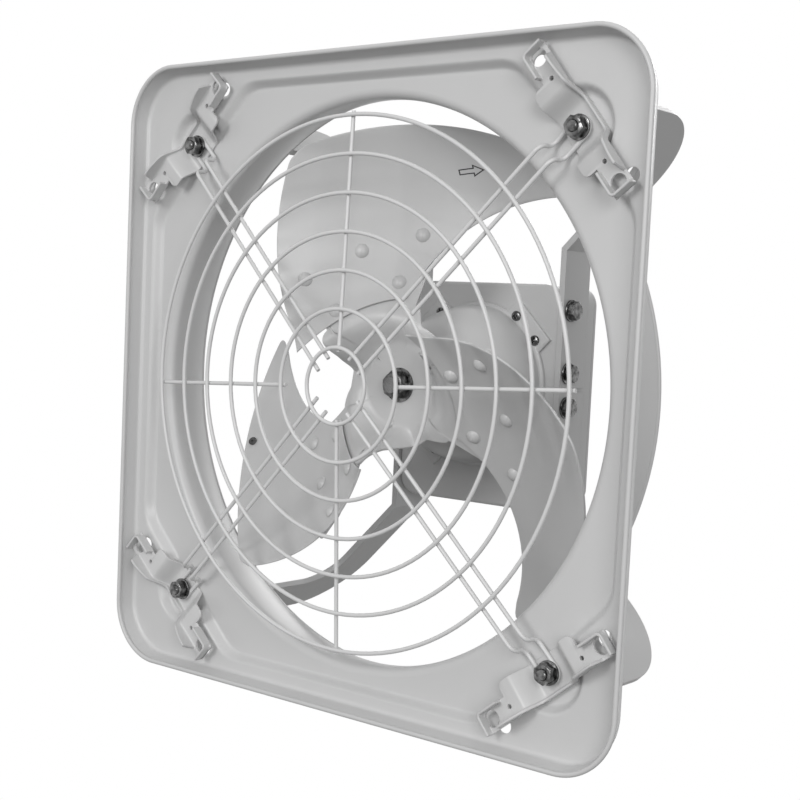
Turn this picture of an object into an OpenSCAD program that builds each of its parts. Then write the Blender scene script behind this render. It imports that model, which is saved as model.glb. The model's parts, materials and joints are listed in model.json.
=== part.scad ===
// Square wall exhaust fan: a pressed frame with a round venturi, a wire guard held by
// four hook brackets, a three-blade riveted propeller, and a motor carried on four stays.
// Origin: centre of the opening on the wall plane, which is the back of the flat border.
// +Z is up and -Y is the guarded front.

/* [Opening] */
// Radius of the throat, the narrowest place of the opening
throat_r = 206.5; // [196:0.5:225]
// Radius of the rounded mouth that leads into the throat
bell_r = 6.5; // [5:0.5:10]
// How far the rear edge stands out beyond the throat
flare_out = 11.5; // [9:0.5:15]
// Depth from the throat to the rear edge
flare_d = 40.5; // [34:0.5:46]
// Diameter of the rolled edge at the rear
flare_bead_d = 3; // [2.4:0.2:4]

/* [Frame] */
// Thickness of the pressed sheet
sheet_t = 1.2; // [1:0.1:1.6]
// Flat land between the mouth and the step
land_w = 6.5; // [5:0.5:12]
// Depth of the recessed floor below the border
recess_d = 7; // [6:0.5:9]
// Run of the sloped step round the recess
step_run = 5.5; // [4:0.5:7]
// Width of the border from the frame's edge to the step
border_w = 15; // [14:0.5:20]
// Outer corner radius of the frame
corner_r = 46; // [40:1:60]
// Depth of the rim in front of the wall plane
rim_d = 16; // [14:0.5:20]
// Lean of the rim wall from its front edge to the border
rim_lean = 4; // [3:0.1:5]
// Diameter of the rolled edge on the rim
bead_d = 3.6; // [3:0.1:5]

/* [Corner fixings] */
// Distance from the edge of the mouth to the corner bolts
stud_off = 38.3; // [36:0.1:44]
// Diameter of the corner bolts
stud_d = 8; // [6:1:8]
// Radius of the round pocket's floor at each bolt
pocket_r = 22; // [21:0.5:26]
// How far the recess is cut off inside each bolt
corner_cut = 9; // [6:0.5:12]
// Radius of the recess's corners
recess_corner_r = 12; // [8:1:16]
// Diameter of the wall holes
hole_d = 10.5; // [8:0.5:12]
// Distance of the wall holes from the frame's edge
hole_edge = 20; // [16:0.5:21]
// Distance of the wall holes from the bolt, towards the middle of the side
hole_in = 31.3; // [29:0.1:36]
// Width across the flats of the nuts and bolt heads
hex_af = 13; // [12:0.5:14]
// Height of the nuts
nut_h = 6.5; // [5:0.5:8]
// Height of the bolt heads
head_h = 5.3; // [4:0.1:6]
// Diameter of the washers
washer_d = 17; // [16:0.5:18]
// Thickness of the washers
washer_t = 1.6; // [1:0.1:2]
// How far the bolt's end stands out of the nut
stud_proud = 1.8; // [1:0.1:4]

/* [Guard] */
// Diameter of the guard's wire
wire_d = 3; // [2.5:0.1:3.4]
// Number of rings
ring_count = 7; // [5:1:9]
// Gap between the outermost ring and the throat, seen from the front
guard_gap = 14.3; // [9:0.1:18]
// How far the outermost ring stands in front of the wall plane
guard_rise = 15.8; // [15:0.2:24]
// Extra rise of the guard from the outermost ring to the axis
guard_dome = 8.7; // [4:0.1:14]
// Distance between the two wires of an arm
arm_pitch = 13; // [12:0.5:14]
// Distance from the bolt at which an arm steps down to its bracket
arm_step = 23; // [20:0.5:26]
// Length of the stubs inside the first ring
arm_stub = 7; // [4:0.5:10]
// Radius of the bends where an arm steps down
arm_bend = 6; // [4:0.5:7]

/* [Hook brackets] */
// Thickness of the bracket's strip
strap_t = 2; // [1.5:0.1:2.5]
// Half length of a bracket, from the bolt to the end of its hook
strap_half = 59; // [54:1:60]
// Half length of the pad under the nut
pad_half = 11.5; // [10.5:0.5:12]
// Half length of the wide middle part
strap_mid = 35; // [32:1:38]
// Reach of the wide part inside the bolt
strap_in = 12; // [10:0.5:14]
// Reach of the strip outside the bolt
strap_out = 15; // [13:0.5:15.5]
// Gap between the bracket's wings and the border
wing_gap = 5.3; // [4.5:0.1:6.5]
// Run of the bends between the pad and the wings
wing_run = 14; // [14:0.5:16]
// Width of the strip at the hooks
hook_w = 17; // [15:0.5:18]
// Height of the turned-up edges of the hooks
hook_h = 6; // [4:0.5:10]
// Diameter of the notch in each hook
notch_d = 12; // [10:0.5:13]
// Diameter of the small hole in each wing
pilot_d = 3.2; // [2:0.2:4]
// Depth of the bent-back outer edge of the wings
lip_d = 6; // [4:0.5:6]
// Turn of the right-hand brackets round their bolts, clockwise seen from the front
turn_right = 6.3; // [-3:0.1:6.4]
// Turn of the left-hand brackets round their bolts, clockwise seen from the front
turn_left = -2.6; // [-6.4:0.1:3]

/* [Propeller] */
// Gap between the blade tips and the throat
tip_gap = 11.5; // [8:0.5:16]
// Distance from the wall plane to the front of the hub plate
hub_y = 50; // [46:0.5:56]
// Thickness of a blade
blade_t = 1.6; // [1.2:0.1:2]
// Radius of the blades' inner edge
blade_root_r = 65; // [62:0.5:68]
// How much nearer to the axis the inner edge runs at the front corner
root_dip = 4.5; // [0:0.5:6]
// Extra angle of the front corner at the inner edge
root_heel = 2.6; // [0:0.2:6]
// Distance of the blades' front edge behind the wall plane
blade_front_y = 0.6; // [0:0.1:6]
// Smallest angle that a blade covers
blade_span = 59; // [50:1:64]
// Extra half angle at the blade's root and tip
blade_waist = 3.3; // [0:0.1:5]
// Lead of the blade's middle at the root, from the middle of its arm
blade_lead = 10.2; // [6:0.2:14]
// Sweep of the blade's middle from root to tip, even part
blade_sweep = 35; // [28:0.5:40]
// Sweep of the blade's middle from root to tip, part that grows outwards
blade_curl = 7.5; // [0:0.5:12]
// Pitch angle at the root
pitch_root = 33.6; // [28:0.2:36]
// Loss of pitch angle from root to tip
pitch_loss = 4; // [0:0.2:8]
// Camber of a blade as a share of its depth
camber = 0.095; // [0.04:0.005:0.12]
// Drop of the tip's outline at the front corner
tip_drop = 8.3; // [4:0.1:12]
// Corner radius of the tip at the front edge
tip_front_r = 9; // [6:0.5:14]
// Corner radius of the tip at the rear edge
tip_rear_r = 16; // [8:0.5:22]
// Thickness of the hub plate
spider_t = 2.5; // [2:0.1:3]
// Radius of the hub plate between its arms
spider_gap_r = 48; // [44:0.5:52]
// Radius of the ends of the hub plate's arms
spider_arm_r = 121; // [119:0.5:128]
// Half angle of an arm
spider_arm_half = 24; // [24:0.5:28]
// Diameter of the rivet heads
rivet_d = 11; // [9:0.5:12]
// Height of the rivet heads
rivet_h = 3; // [2:0.2:4]
// Diameter of the rivet shanks
rivet_shank_d = 5; // [4:0.2:6]
// Width across the flats of the hub nut
hub_nut_af = 18; // [17:0.5:19]
// Height of the hub nut
hub_nut_h = 8; // [6:0.5:10]
// Diameter of the hub washer
hub_washer_d = 26; // [24:0.5:28]

/* [Motor] */
// Distance from the wall plane to the face of the motor
motor_y = 148; // [140:0.5:160]
// Width of the motor
motor_w = 151; // [148:1:164]
// Height of the motor's top above the axis
motor_up = 81.5; // [78:0.5:90]
// Depth of the motor's bottom below the axis
motor_down = 96.5; // [90:0.5:104]
// Length of the motor's shell
motor_len = 50; // [46:0.5:60]
// Corner radius of the motor's shell
motor_corner_r = 16; // [10:0.5:20]
// Thickness of the motor's shell
motor_wall = 3; // [2.5:0.1:3.5]
// Wall between the stator's bore and the ends of the stay bolts
stator_clear = 3.5; // [3:0.5:6]
// Length of the stator's stack
stack_len = 32; // [26:1:34]
// Radius of the rotor's stack
rotor_r = 36; // [32:0.5:40]
// Length of the front cover's dome
dome_len = 63; // [58:0.5:66]
// Radius of the front cover's nose
nose_r = 25; // [22:0.5:28]
// Length of the rear cover's dome
rear_dome_len = 26; // [24:0.5:32]
// Diameter of the shaft in its bearings
shaft_d = 15; // [14:0.5:16]
// Diameter of the threaded end of the shaft
shaft_end_d = 12; // [10:0.5:13]
// Outer diameter of the bearings
bearing_d = 35; // [34:0.5:38]
// Width of the bearings
bearing_w = 11; // [9:0.5:12]
// Diameter of the cable gland's body
gland_d = 20; // [16:0.5:22]

/* [Motor stays] */
// Width of the flat bar
stay_w = 35; // [32:0.5:38]
// Thickness of the flat bar
stay_t = 5; // [4:0.5:6]
// How far the stays reach in front of the motor's face
stay_lead = 2.5; // [1:0.5:5]
// Width of the forward leg
leg_w = 33.5; // [32:0.5:38]
// Reach of the forward leg outside the corner bolt
leg_over = 16.7; // [14:0.1:20]
// Distance from the corner bolt to the face of the stay
stay_off = 19; // [16:0.1:22]
// Outer radius of the turn towards the frame
turn_r = 58; // [48:1:60]
// Inner radius of the turn
turn_in_r = 30; // [16:1:32]
// Half of the gap between the upper and the lower stay
stay_split = 1.5; // [1:0.1:3]
// Height of the inner bolts from the axis
bolt_near = 13.3; // [11:0.1:18]
// Height of the outer bolts from the axis
bolt_far = 61.7; // [50:0.1:66]
// Distance of the bolts behind the motor's face
bolt_back = 7.5; // [7.5:0.5:14]

/* [Hidden] */
$fn = 64;
// clearances between neighbours
weld_gap = 0.05;
seat_gap = 0.3;
plate_gap = 0.8;
bolt_gap = 0.25;
ball_gap = 0.05;
air_gap = 0.5;
// frame
mouth_r = throat_r + bell_r;
floor_half = mouth_r + land_w;
step_half = floor_half + step_run;
frame_half = step_half + border_w;
floor_front = recess_d - sheet_t;
throat_y = floor_front + bell_r;
flare_r = (flare_d * flare_d + flare_out * flare_out) / (2 * flare_out);
flare_angle = asin(flare_d / flare_r);
stud_r = mouth_r + stud_off;
stud_x = stud_r / sqrt(2);
cut_r = stud_r - corner_cut;
hole_x = stud_x - hole_in;
hole_z = frame_half - hole_edge;
// fixings at the corners, counted forward from the pocket's floor
pad_front = floor_front - strap_t;
loop_y = pad_front - wire_d / 2;
washer_back = loop_y - wire_d / 2;
nut_back = washer_back - washer_t;
stud_tip = nut_back - nut_h - stud_proud;
foot_back = recess_d + stay_t;
stud_bore = stud_d + 2 * bolt_gap;
// guard
guard_r = throat_r - guard_gap;
ring_pitch = guard_r / ring_count;
guard_slope = guard_dome / guard_r;
spoke_drop = wire_d + weld_gap;
spoke_skew = [0.8, 3];
// bracket
wing_front = -sheet_t - wing_gap - strap_t;
hook_in = strap_out - hook_w;
hook_from = strap_mid + 4;
lobe_r = 5;
bend_steps = 8;
pilot_at = [strap_mid - 0.6, strap_out - 9.3];
notch_at = [strap_half - notch_d / 2 - 1, hook_in + notch_d / 2 + strap_t];
// propeller
blade_tip_r = throat_r - tip_gap;
arm_angle = 111;
blade_steps = 15;
chord_steps = 12;
tip_crest = 0.55;
waist_at = 0.54;
heel_at = 0.12;
spider_rows = 10;
spider_core_r = 20;
arm_ease = 6;
arm_flare = 12;
flare_run = 16;
arm_twist = 22;
hub_disc_r = 30;
hub_disc_t = 3.4;
rivet_spots = [[102, 132], [106, 110.5], [113, 89], [69, 129.5], [77, 95]];
rivet_tail_d = 9;
rivet_tail_h = 1.5;
eyelet_in = 7.5;
eyelet_spot = [blade_tip_r - eyelet_in, 79];
eyelet_d = 7;
eyelet_h = 1.2;
boss_r = 17;
boss_len = 24;
boss_flange_r = 28;
// motor
shaft_step_y = hub_y + 10;
shaft_front = hub_y - washer_t - hub_nut_h - 2;
motor_rear = motor_y + motor_len;
plate_back = motor_rear + motor_wall;
nose_y = motor_y - dome_len;
seat_lip = 7;
stay_bolt_len = 12;
stator_r = motor_w / 2 - stay_bolt_len - stator_clear;
front_bearing_y = nose_y + seat_lip;
rear_bearing_y = plate_back + 4;
stack_y = motor_y + 6.5;
dome_base_r = stator_r + 3;
flange_r = stator_r + 6;
flange_t = 3;
flange_y = motor_y - flange_t;
lug_at = stator_r + 6;
lug_w = 44;
lug_d = 20;
lug_screw = 13;
rear_dome_r = 48;
race_r = bearing_d / 2 - 3.5;
inner_race_r = shaft_d / 2 + 3;
ball_r = (race_r - inner_race_r) / 2 - ball_gap;
ball_path = (race_r + inner_race_r) / 2;
gland_at = [-50, -72];
gland_nut_h = 5;
gland_len = 16;
screw_d = 4;
screw_head_h = 2.4;
rear_screw_len = 9;
// stays
stay_front = motor_y - stay_lead;
stay_rear = stay_front + stay_w;
stay_x = motor_w / 2;
bend_shift = stay_off * sqrt(2);
leg_out = stud_r + leg_over;
leg_in = leg_out - leg_w;
foot_r = stud_d / 2 + 10;
bolt_y = motor_y + bolt_back;

// smooth step from 0 to 1
function smooth(t) = let (c = min(1, max(0, t))) c * c * (3 - 2 * c);

// the blade as a sheet: r is the radius, a the angle from the +X axis seen from the front
function blade_u(r) = (r - blade_root_r) / (blade_tip_r - blade_root_r);
function blade_mid(r) = let (u = blade_u(r)) arm_angle + blade_lead - blade_sweep * u - blade_curl * u * u;
function blade_half(r) = let (w = 1 - blade_u(r) / waist_at) blade_span / 2 + blade_waist * w * w;
function blade_tan(r) = let (u = blade_u(r)) tan(pitch_root - pitch_loss * u * u);
function blade_depth(r) = r * 2 * blade_half(r) * PI / 180 * blade_tan(r);
function blade_v(r, a) = (blade_mid(r) + blade_half(r) - a) / (2 * blade_half(r));
function blade_at(r, v) = blade_front_y + blade_depth(r) * (v + 4 * camber * v * (1 - v));
function blade_tilt(r, a) = atan(blade_tan(r) * (1 + 4 * camber * (1 - 2 * blade_v(r, a))));
// round the two tip corners: x is the distance from the edge along the chord
function corner_loss(x, r) = x >= r ? 0 : r - sqrt(r * r - (r - x) * (r - x));
function root_at(v) = blade_root_r - root_dip * (1 - v * v);
function heel(r) = let (w = max(0, 1 - blade_u(r) / heel_at)) root_heel * w * w;
function tip_at(v) =
    let (w = (v - tip_crest) / tip_crest, chord = blade_tip_r * 2 * blade_half(blade_tip_r) * PI / 180)
    blade_tip_r - tip_drop * w * w - corner_loss(v * chord, tip_front_r)
    - corner_loss((1 - v) * chord, tip_rear_r);
function polar(r, a, y) = [r * cos(a), y, r * sin(a)];

// triangles of a closed sheet whose two skins are grids of m by n points
function grid(m, n, base, flip) = [
    for (i = [0 : m - 2], j = [0 : n - 2])
        let (a = base + i * n + j, b = a + 1, c = a + n, d = c + 1)
        each flip ? [[a, b, d], [a, d, c]] : [[a, d, b], [a, c, d]]
];
function border(m, n) = concat(
    [for (i = [0 : m - 2]) i * n],
    [for (j = [0 : n - 2]) (m - 1) * n + j],
    [for (i = [m - 1 : -1 : 1]) i * n + n - 1],
    [for (j = [n - 1 : -1 : 1]) j]
);
function skirt(loop, shift) = [
    for (k = [0 : len(loop) - 1])
        let (a = loop[k], b = loop[(k + 1) % len(loop)])
        each [[a, b, b + shift], [a, b + shift, a + shift]]
];

// helpers that turn flat shapes into the fan's frame
module plate(y0, y1) {
    translate([0, y1, 0]) rotate([90, 0, 0]) linear_extrude(y1 - y0) children();
}
module turned(angle = 360) {
    rotate([-90, 0, 0]) rotate_extrude(angle = angle, $fn = 96) children();
}
module rod(r, y0, y1) {
    translate([0, y0, 0]) rotate([-90, 0, 0]) cylinder(r = r, h = y1 - y0);
}
module hex_rod(af, y0, y1) {
    translate([0, y0, 0]) rotate([-90, 0, 0]) cylinder(d = af / cos(30), h = y1 - y0, $fn = 6);
}
// local frame at a corner: X along the bracket, Z outwards along the diagonal
module at_corner(i) {
    rotate([0, 45 + 90 * i, 0]) children();
}
module at_stud(i) {
    at_corner(i) translate([0, 0, stud_r]) children();
}
module each_stud() {
    for (i = [0 : 3]) at_stud(i) children();
}
module rounded(w, h, r) {
    square([w - 2 * r, h], center = true);
    square([w, h - 2 * r], center = true);
    for (x = [-1, 1], z = [-1, 1]) translate([x * (w / 2 - r), z * (h / 2 - r)]) circle(r);
}

// pressed frame
module rim_profile() {
    edge = corner_r - bead_d / 2;
    translate([edge, bead_d / 2 - rim_d]) circle(d = bead_d, $fn = 32);
    polygon([
        [edge - sheet_t / 2, bead_d / 2 - rim_d],
        [edge + sheet_t / 2, bead_d / 2 - rim_d],
        [corner_r - rim_lean, 0],
        [corner_r - rim_lean - sheet_t, 0]
    ]);
}
module rim() {
    side = frame_half - corner_r;
    for (i = [0 : 3]) rotate([0, 90 * i, 0]) {
        translate([side, 0, -side]) linear_extrude(2 * side) rim_profile();
        translate([side, 0, -side]) turned(90) rim_profile();
    }
}
module recess_floor(grow) {
    half = floor_half + grow;
    cut = (cut_r + grow) * sqrt(2) - half;
    offset(r = recess_corner_r, $fn = 48) offset(delta = -recess_corner_r)
        polygon([
            [half, -cut], [half, cut], [cut, half], [-cut, half],
            [-half, cut], [-half, -cut], [-cut, -half], [cut, -half]
        ]);
}
// the recess as a solid that narrows towards its floor at y1
module recess(y0, y1, grow) {
    half = floor_half + grow;
    run = step_run * (y1 - y0) / recess_d;
    translate([0, y1, 0]) rotate([90, 0, 0])
        linear_extrude(y1 - y0, scale = (half + run) / half) recess_floor(grow);
    each_stud() translate([0, y0, 0]) rotate([-90, 0, 0])
        cylinder(r1 = pocket_r + grow + run, r2 = pocket_r + grow, h = y1 - y0);
}
module venturi_profile() {
    bead = flare_bead_d / 2;
    translate([mouth_r, throat_y]) intersection() {
        difference() {
            circle(bell_r);
            circle(bell_r - sheet_t);
        }
        translate([-bell_r, -bell_r]) square(bell_r);
    }
    translate([throat_r + flare_r, throat_y]) {
        intersection() {
            difference() {
                circle(flare_r, $fn = 128);
                circle(flare_r - sheet_t, $fn = 128);
            }
            polygon([
                [0, 0], [-2 * flare_r, 0],
                [-2 * flare_r, 2 * flare_r * tan(flare_angle / 2)],
                [-2 * flare_r * cos(flare_angle), 2 * flare_r * sin(flare_angle)]
            ]);
        }
        rotate(180 - flare_angle) translate([flare_r - sheet_t / 2, 0]) circle(bead, $fn = 32);
    }
}
module frame_panel() {
    color("gainsboro") {
        difference() {
            union() {
                rim();
                plate(-sheet_t, 0)
                    rounded(2 * (frame_half - rim_lean), 2 * (frame_half - rim_lean), corner_r - rim_lean);
                recess(-sheet_t / 2, recess_d, sheet_t / 2);
            }
            recess(-sheet_t, floor_front, 0);
            rod(mouth_r, -1, recess_d + 1);
            each_stud() rod(stud_bore / 2, -1, recess_d + 1);
            for (x = [-1, 1], z = [-1, 1]) {
                translate([x * hole_x, 0, z * hole_z]) rod(hole_d / 2, -2 * sheet_t, sheet_t);
                translate([x * hole_z, 0, z * hole_x]) rod(hole_d / 2, -2 * sheet_t, sheet_t);
            }
        }
        turned() venturi_profile();
    }
}

// wire guard: rings lie on a shallow cone, spokes and arms run behind them
function guard_y(r) = -guard_rise - guard_dome + guard_slope * r;
module wire(p, q) {
    d = q - p;
    translate(p) rotate([0, acos(d[2] / norm(d)), atan2(d[1], d[0])])
        cylinder(d = wire_d, h = norm(d), $fn = 24);
}
// quarter-like bend of wire in the Y-Z plane: centre p, from angle a0 on, counted from +Z to +Y
module elbow(p, a0, a1) {
    translate(p) rotate([-a0, 0, 0]) rotate([0, -90, 0])
        rotate_extrude(angle = a1 - a0, $fn = 48) translate([arm_bend, 0]) circle(d = wire_d, $fn = 24);
}
module guard_rings() {
    color("whitesmoke")
    for (i = [1 : ring_count])
        translate([0, guard_y(ring_pitch * i), 0]) turned()
            translate([ring_pitch * i, 0]) circle(d = wire_d, $fn = 24);
}
module guard_spoke(r0) {
    r1 = guard_r + wire_d;
    wire([0, guard_y(r0) + spoke_drop, r0], [0, guard_y(r1) + spoke_drop, r1]);
}
module guard_spokes() {
    color("whitesmoke") {
        for (a = [0, 180]) rotate([0, a - spoke_skew[0], 0]) guard_spoke(ring_pitch - wire_d);
        for (a = [90, 270]) rotate([0, a - spoke_skew[1], 0]) guard_spoke(2 * ring_pitch - wire_d);
    }
}
// one arm is a hairpin: two wires from the first ring to the bolt, joined round it
module guard_arm(i) {
    inner = ring_pitch - arm_stub;
    drop = stud_r - arm_step;
    lean = atan(guard_slope);
    turn_z = drop - arm_bend + arm_bend * sin(lean);
    turn_y = guard_y(turn_z) + spoke_drop;
    fall_y = turn_y + arm_bend * cos(lean);
    color("whitesmoke")
    at_corner(i) {
        for (x = [-1, 1] * arm_pitch / 2) {
            wire([x, guard_y(inner) + spoke_drop, inner], [x, turn_y, turn_z]);
            elbow([x, fall_y, drop - arm_bend], lean - 90, 0);
            wire([x, fall_y, drop], [x, loop_y - arm_bend, drop]);
            elbow([x, loop_y - arm_bend, drop + arm_bend], 90, 180);
            wire([x, loop_y, drop + arm_bend], [x, loop_y, stud_r]);
            for (p = [[x, turn_y, turn_z], [x, fall_y, drop]])
                translate(p) sphere(d = wire_d + 2 * weld_gap, $fn = 24);
        }
        translate([0, loop_y, stud_r]) rotate([0, -180, 0]) turned(180)
            translate([arm_pitch / 2, 0]) circle(d = wire_d, $fn = 24);
    }
}
module guard_arm_upper_right() { guard_arm(0); }
module guard_arm_lower_right() { guard_arm(1); }
module guard_arm_lower_left() { guard_arm(2); }
module guard_arm_upper_left() { guard_arm(3); }

// hook bracket: a strip with its pad on the pocket's floor and both wings over the border
module strap_side() {
    rise = wing_front - pad_front;
    // front of the S-shaped bend and its slope, from the pad to the wing
    bend = [
        for (k = [0 : bend_steps])
            let (turn = 180 * k / bend_steps)
            [pad_half + wing_run * k / bend_steps, pad_front + rise * (1 - cos(turn)) / 2,
                rise * PI / 2 * sin(turn) / wing_run]
    ];
    for (s = [1, -1]) scale([s, 1])
        polygon(concat(
            [[0, pad_front]], [for (b = bend) [b[0], b[1]]],
            [[strap_half, wing_front], [strap_half, wing_front + strap_t]],
            [for (k = [bend_steps : -1 : 0])
                let (b = bend[k])
                [b[0], b[1]] + strap_t * [-b[2], 1] / norm([b[2], 1])],
            [[0, floor_front]]
        ));
}
module strap_outline() {
    deep = strap_in + strap_out;
    translate([0, (strap_out - strap_in) / 2]) square([2 * (strap_mid - lobe_r), deep], center = true);
    for (x = [-1, 1]) translate([x * (strap_mid - lobe_r), lobe_r - strap_in]) circle(lobe_r);
    translate([-strap_mid, lobe_r - strap_in]) square([2 * strap_mid, deep - lobe_r]);
    translate([-strap_half, hook_in]) square([2 * strap_half, hook_w]);
}
module hook_bracket(i, turn) {
    lip_from = pad_half + wing_run + strap_t;
    color("gainsboro")
    at_stud(i) rotate([0, turn, 0]) {
        difference() {
            intersection() {
                translate([0, 0, -strap_in]) linear_extrude(strap_in + strap_out) strap_side();
                plate(wing_front, floor_front) strap_outline();
            }
            rod(stud_bore / 2, wing_front - 1, floor_front + 1);
            for (x = [-1, 1]) {
                translate([x * pilot_at[0], 0, pilot_at[1]]) rod(pilot_d / 2, wing_front - 1, 0);
                translate([x * notch_at[0], 0, notch_at[1]]) rod(notch_d / 2, wing_front - 1, 0);
            }
        }
        for (m = [0, 1]) mirror([m, 0, 0]) {
            translate([hook_from, wing_front - hook_h, hook_in])
                cube([strap_half - hook_from, hook_h + strap_t, strap_t]);
            translate([strap_half - strap_t, wing_front - hook_h, hook_in])
                cube([strap_t, hook_h + strap_t, hook_w]);
            translate([lip_from, wing_front, strap_out - strap_t])
                cube([strap_half - lip_from, lip_d, strap_t]);
        }
    }
}
module hook_bracket_upper_right() { hook_bracket(0, turn_right); }
module hook_bracket_lower_right() { hook_bracket(1, turn_right); }
module hook_bracket_lower_left() { hook_bracket(2, turn_left); }
module hook_bracket_upper_left() { hook_bracket(3, turn_left); }

// bolts that hold stay, frame, bracket and guard at each corner
module corner_bolts() {
    color("dimgray") each_stud() {
        rod(stud_d / 2, stud_tip, foot_back);
        hex_rod(hex_af, foot_back, foot_back + head_h);
    }
}
module corner_washers() {
    color("dimgray") each_stud() difference() {
        rod(washer_d / 2, nut_back, washer_back);
        rod(stud_bore / 2, nut_back - 1, washer_back + 1);
    }
}
module corner_nuts() {
    color("dimgray") each_stud() difference() {
        hex_rod(hex_af, nut_back - nut_h, nut_back);
        rod(stud_d / 2 + weld_gap, nut_back - nut_h - 1, nut_back + 1);
    }
}

// motor stay: flat bar on the motor's side, bent to the corner, turned forward to a foot
module leg_side() {
    turn_at = leg_out - turn_r;
    start = stud_r / 2;
    depth = stay_rear - recess_d;
    difference() {
        union() {
            translate([start, recess_d]) square([turn_at - start, depth]);
            translate([turn_at, recess_d]) square([turn_r, depth - turn_r]);
            translate([turn_at, stay_rear - turn_r]) circle(turn_r);
        }
        square([leg_in - turn_in_r, stay_front]);
        square([leg_in, stay_front - turn_in_r]);
        translate([leg_in - turn_in_r, stay_front - turn_in_r]) circle(turn_in_r);
    }
}
module foot_outline() {
    translate([-stay_off - stay_t, leg_in - stud_r]) square([stay_off + stay_t, leg_w]);
    circle(foot_r);
}
module motor_stay(left, low) {
    join = leg_in - turn_in_r;
    reach = join / sqrt(2);
    skew = stay_t * sqrt(2);
    near = stay_off / sqrt(2);
    color("silver")
    mirror([left, 0, 0]) mirror([0, 0, low]) difference() {
        union() {
            plate(stay_front, stay_rear) polygon([
                [stay_x, stay_split], [stay_x + stay_t, stay_split],
                [stay_x + stay_t, stay_x + stay_t + bend_shift],
                [reach - near, reach + near],
                [reach - near - skew / 2, reach + near + skew / 2],
                [stay_x, stay_x + bend_shift + skew]
            ]);
            at_corner(0) {
                translate([-stay_off - stay_t, 0, 0]) rotate([90, 0, 90])
                    linear_extrude(stay_t) intersection() {
                        mirror([1, -1]) leg_side();
                        translate([recess_d, join - stay_t]) square([stay_rear, leg_out]);
                    }
            }
            at_stud(0) plate(recess_d, foot_back) foot_outline();
        }
        at_stud(0) rod(stud_bore / 2, recess_d - 1, foot_back + 1);
        for (z = [bolt_near, bolt_far]) translate([stay_x - 1, bolt_y, z])
            rotate([0, 90, 0]) cylinder(d = stud_bore, h = stay_t + 2);
    }
}
module motor_stay_upper_right() { motor_stay(0, 0); }
module motor_stay_lower_right() { motor_stay(0, 1); }
module motor_stay_lower_left() { motor_stay(1, 1); }
module motor_stay_upper_left() { motor_stay(1, 0); }

// a place on each side of the motor for a bolt, X outwards
module each_stay_bolt() {
    for (s = [0, 1], z = [-bolt_far, -bolt_near, bolt_near, bolt_far])
        mirror([s, 0, 0]) translate([stay_x, bolt_y, z]) rotate([0, 0, -90]) children();
}
module stay_bolts() {
    head = stay_t + washer_t;
    color("dimgray") each_stay_bolt() {
        rod(stud_d / 2, -stay_bolt_len, head);
        hex_rod(hex_af, head, head + head_h);
    }
}
module stay_washers() {
    color("dimgray") each_stay_bolt() difference() {
        rod(washer_d / 2, stay_t, stay_t + washer_t);
        rod(stud_bore / 2, stay_t - 1, stay_t + washer_t + 1);
    }
}

// motor
module motor_shape(inset) {
    translate([0, (motor_up - motor_down) / 2])
        rounded(motor_w - 2 * inset, motor_up + motor_down - 2 * inset, motor_corner_r - inset);
}
module each_lug_screw() {
    for (i = [0 : 3], s = [-1, 1]) at_corner(i) translate([s * lug_screw, 0, lug_at]) children();
}
module each_rear_screw() {
    inset = motor_corner_r * 0.75;
    for (x = [-1, 1], z = [motor_up - inset, inset - motor_down])
        translate([x * (motor_w / 2 - inset), 0, z]) children();
}
module motor_body() {
    color("silver") difference() {
        union() {
            difference() {
                plate(motor_y, motor_rear) motor_shape(0);
                plate(motor_y + motor_wall, motor_rear + 1) motor_shape(motor_wall);
            }
            rod(stator_r + motor_wall, motor_y, motor_rear);
            each_stay_bolt() rod(stud_d / 2 + motor_wall, -stay_bolt_len - 2, -motor_wall / 2);
            each_rear_screw() rod(screw_d, motor_y, motor_rear);
        }
        rod(stator_r, motor_y - 1, motor_rear + 1);
        each_stay_bolt() rod(stud_d / 2 + weld_gap, -stay_bolt_len - weld_gap, 1);
        each_lug_screw() rod(screw_d / 2 + weld_gap, motor_y - 1, motor_y + motor_wall + 1);
        each_rear_screw() rod(screw_d / 2 + weld_gap, motor_rear - rear_screw_len - 1, motor_rear + 1);
    }
}
// outline of a dome that runs from base_r at y0 to tip_r at y1
function dome(base_r, tip_r, y0, y1, n = 12) = [
    for (k = [0 : n]) let (a = 90 * k / n) [tip_r + (base_r - tip_r) * cos(a), y0 + (y1 - y0) * sin(a)]
];
module motor_front_cover() {
    wall = motor_wall;
    seat_back = front_bearing_y + bearing_w;
    color("silver") difference() {
        union() {
            turned() polygon(concat(
                [[0, flange_y]], dome(dome_base_r, nose_r, flange_y, nose_y), [[0, nose_y]]
            ));
            rod(flange_r, flange_y, motor_y);
            for (i = [0 : 3]) at_corner(i)
                translate([-lug_w / 2, flange_y, lug_at - lug_d / 2]) cube([lug_w, flange_t, lug_d]);
        }
        turned() polygon(concat(
            [[0, motor_y + 1], [dome_base_r - wall, motor_y + 1]],
            dome(dome_base_r - wall, nose_r - wall, flange_y, seat_back),
            [[0, seat_back]]
        ));
        rod(bearing_d / 2 + weld_gap, front_bearing_y, seat_back + 1);
        rod(shaft_d / 2 + air_gap, nose_y - 1, seat_back);
        each_lug_screw() rod(screw_d / 2 + weld_gap, flange_y - 1, motor_y + 1);
    }
}
module front_cover_screws() {
    color("dimgray") each_lug_screw() {
        rod(screw_d / 2, flange_y, motor_y + motor_wall);
        rod(screw_d, flange_y - screw_head_h, flange_y);
    }
}
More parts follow.
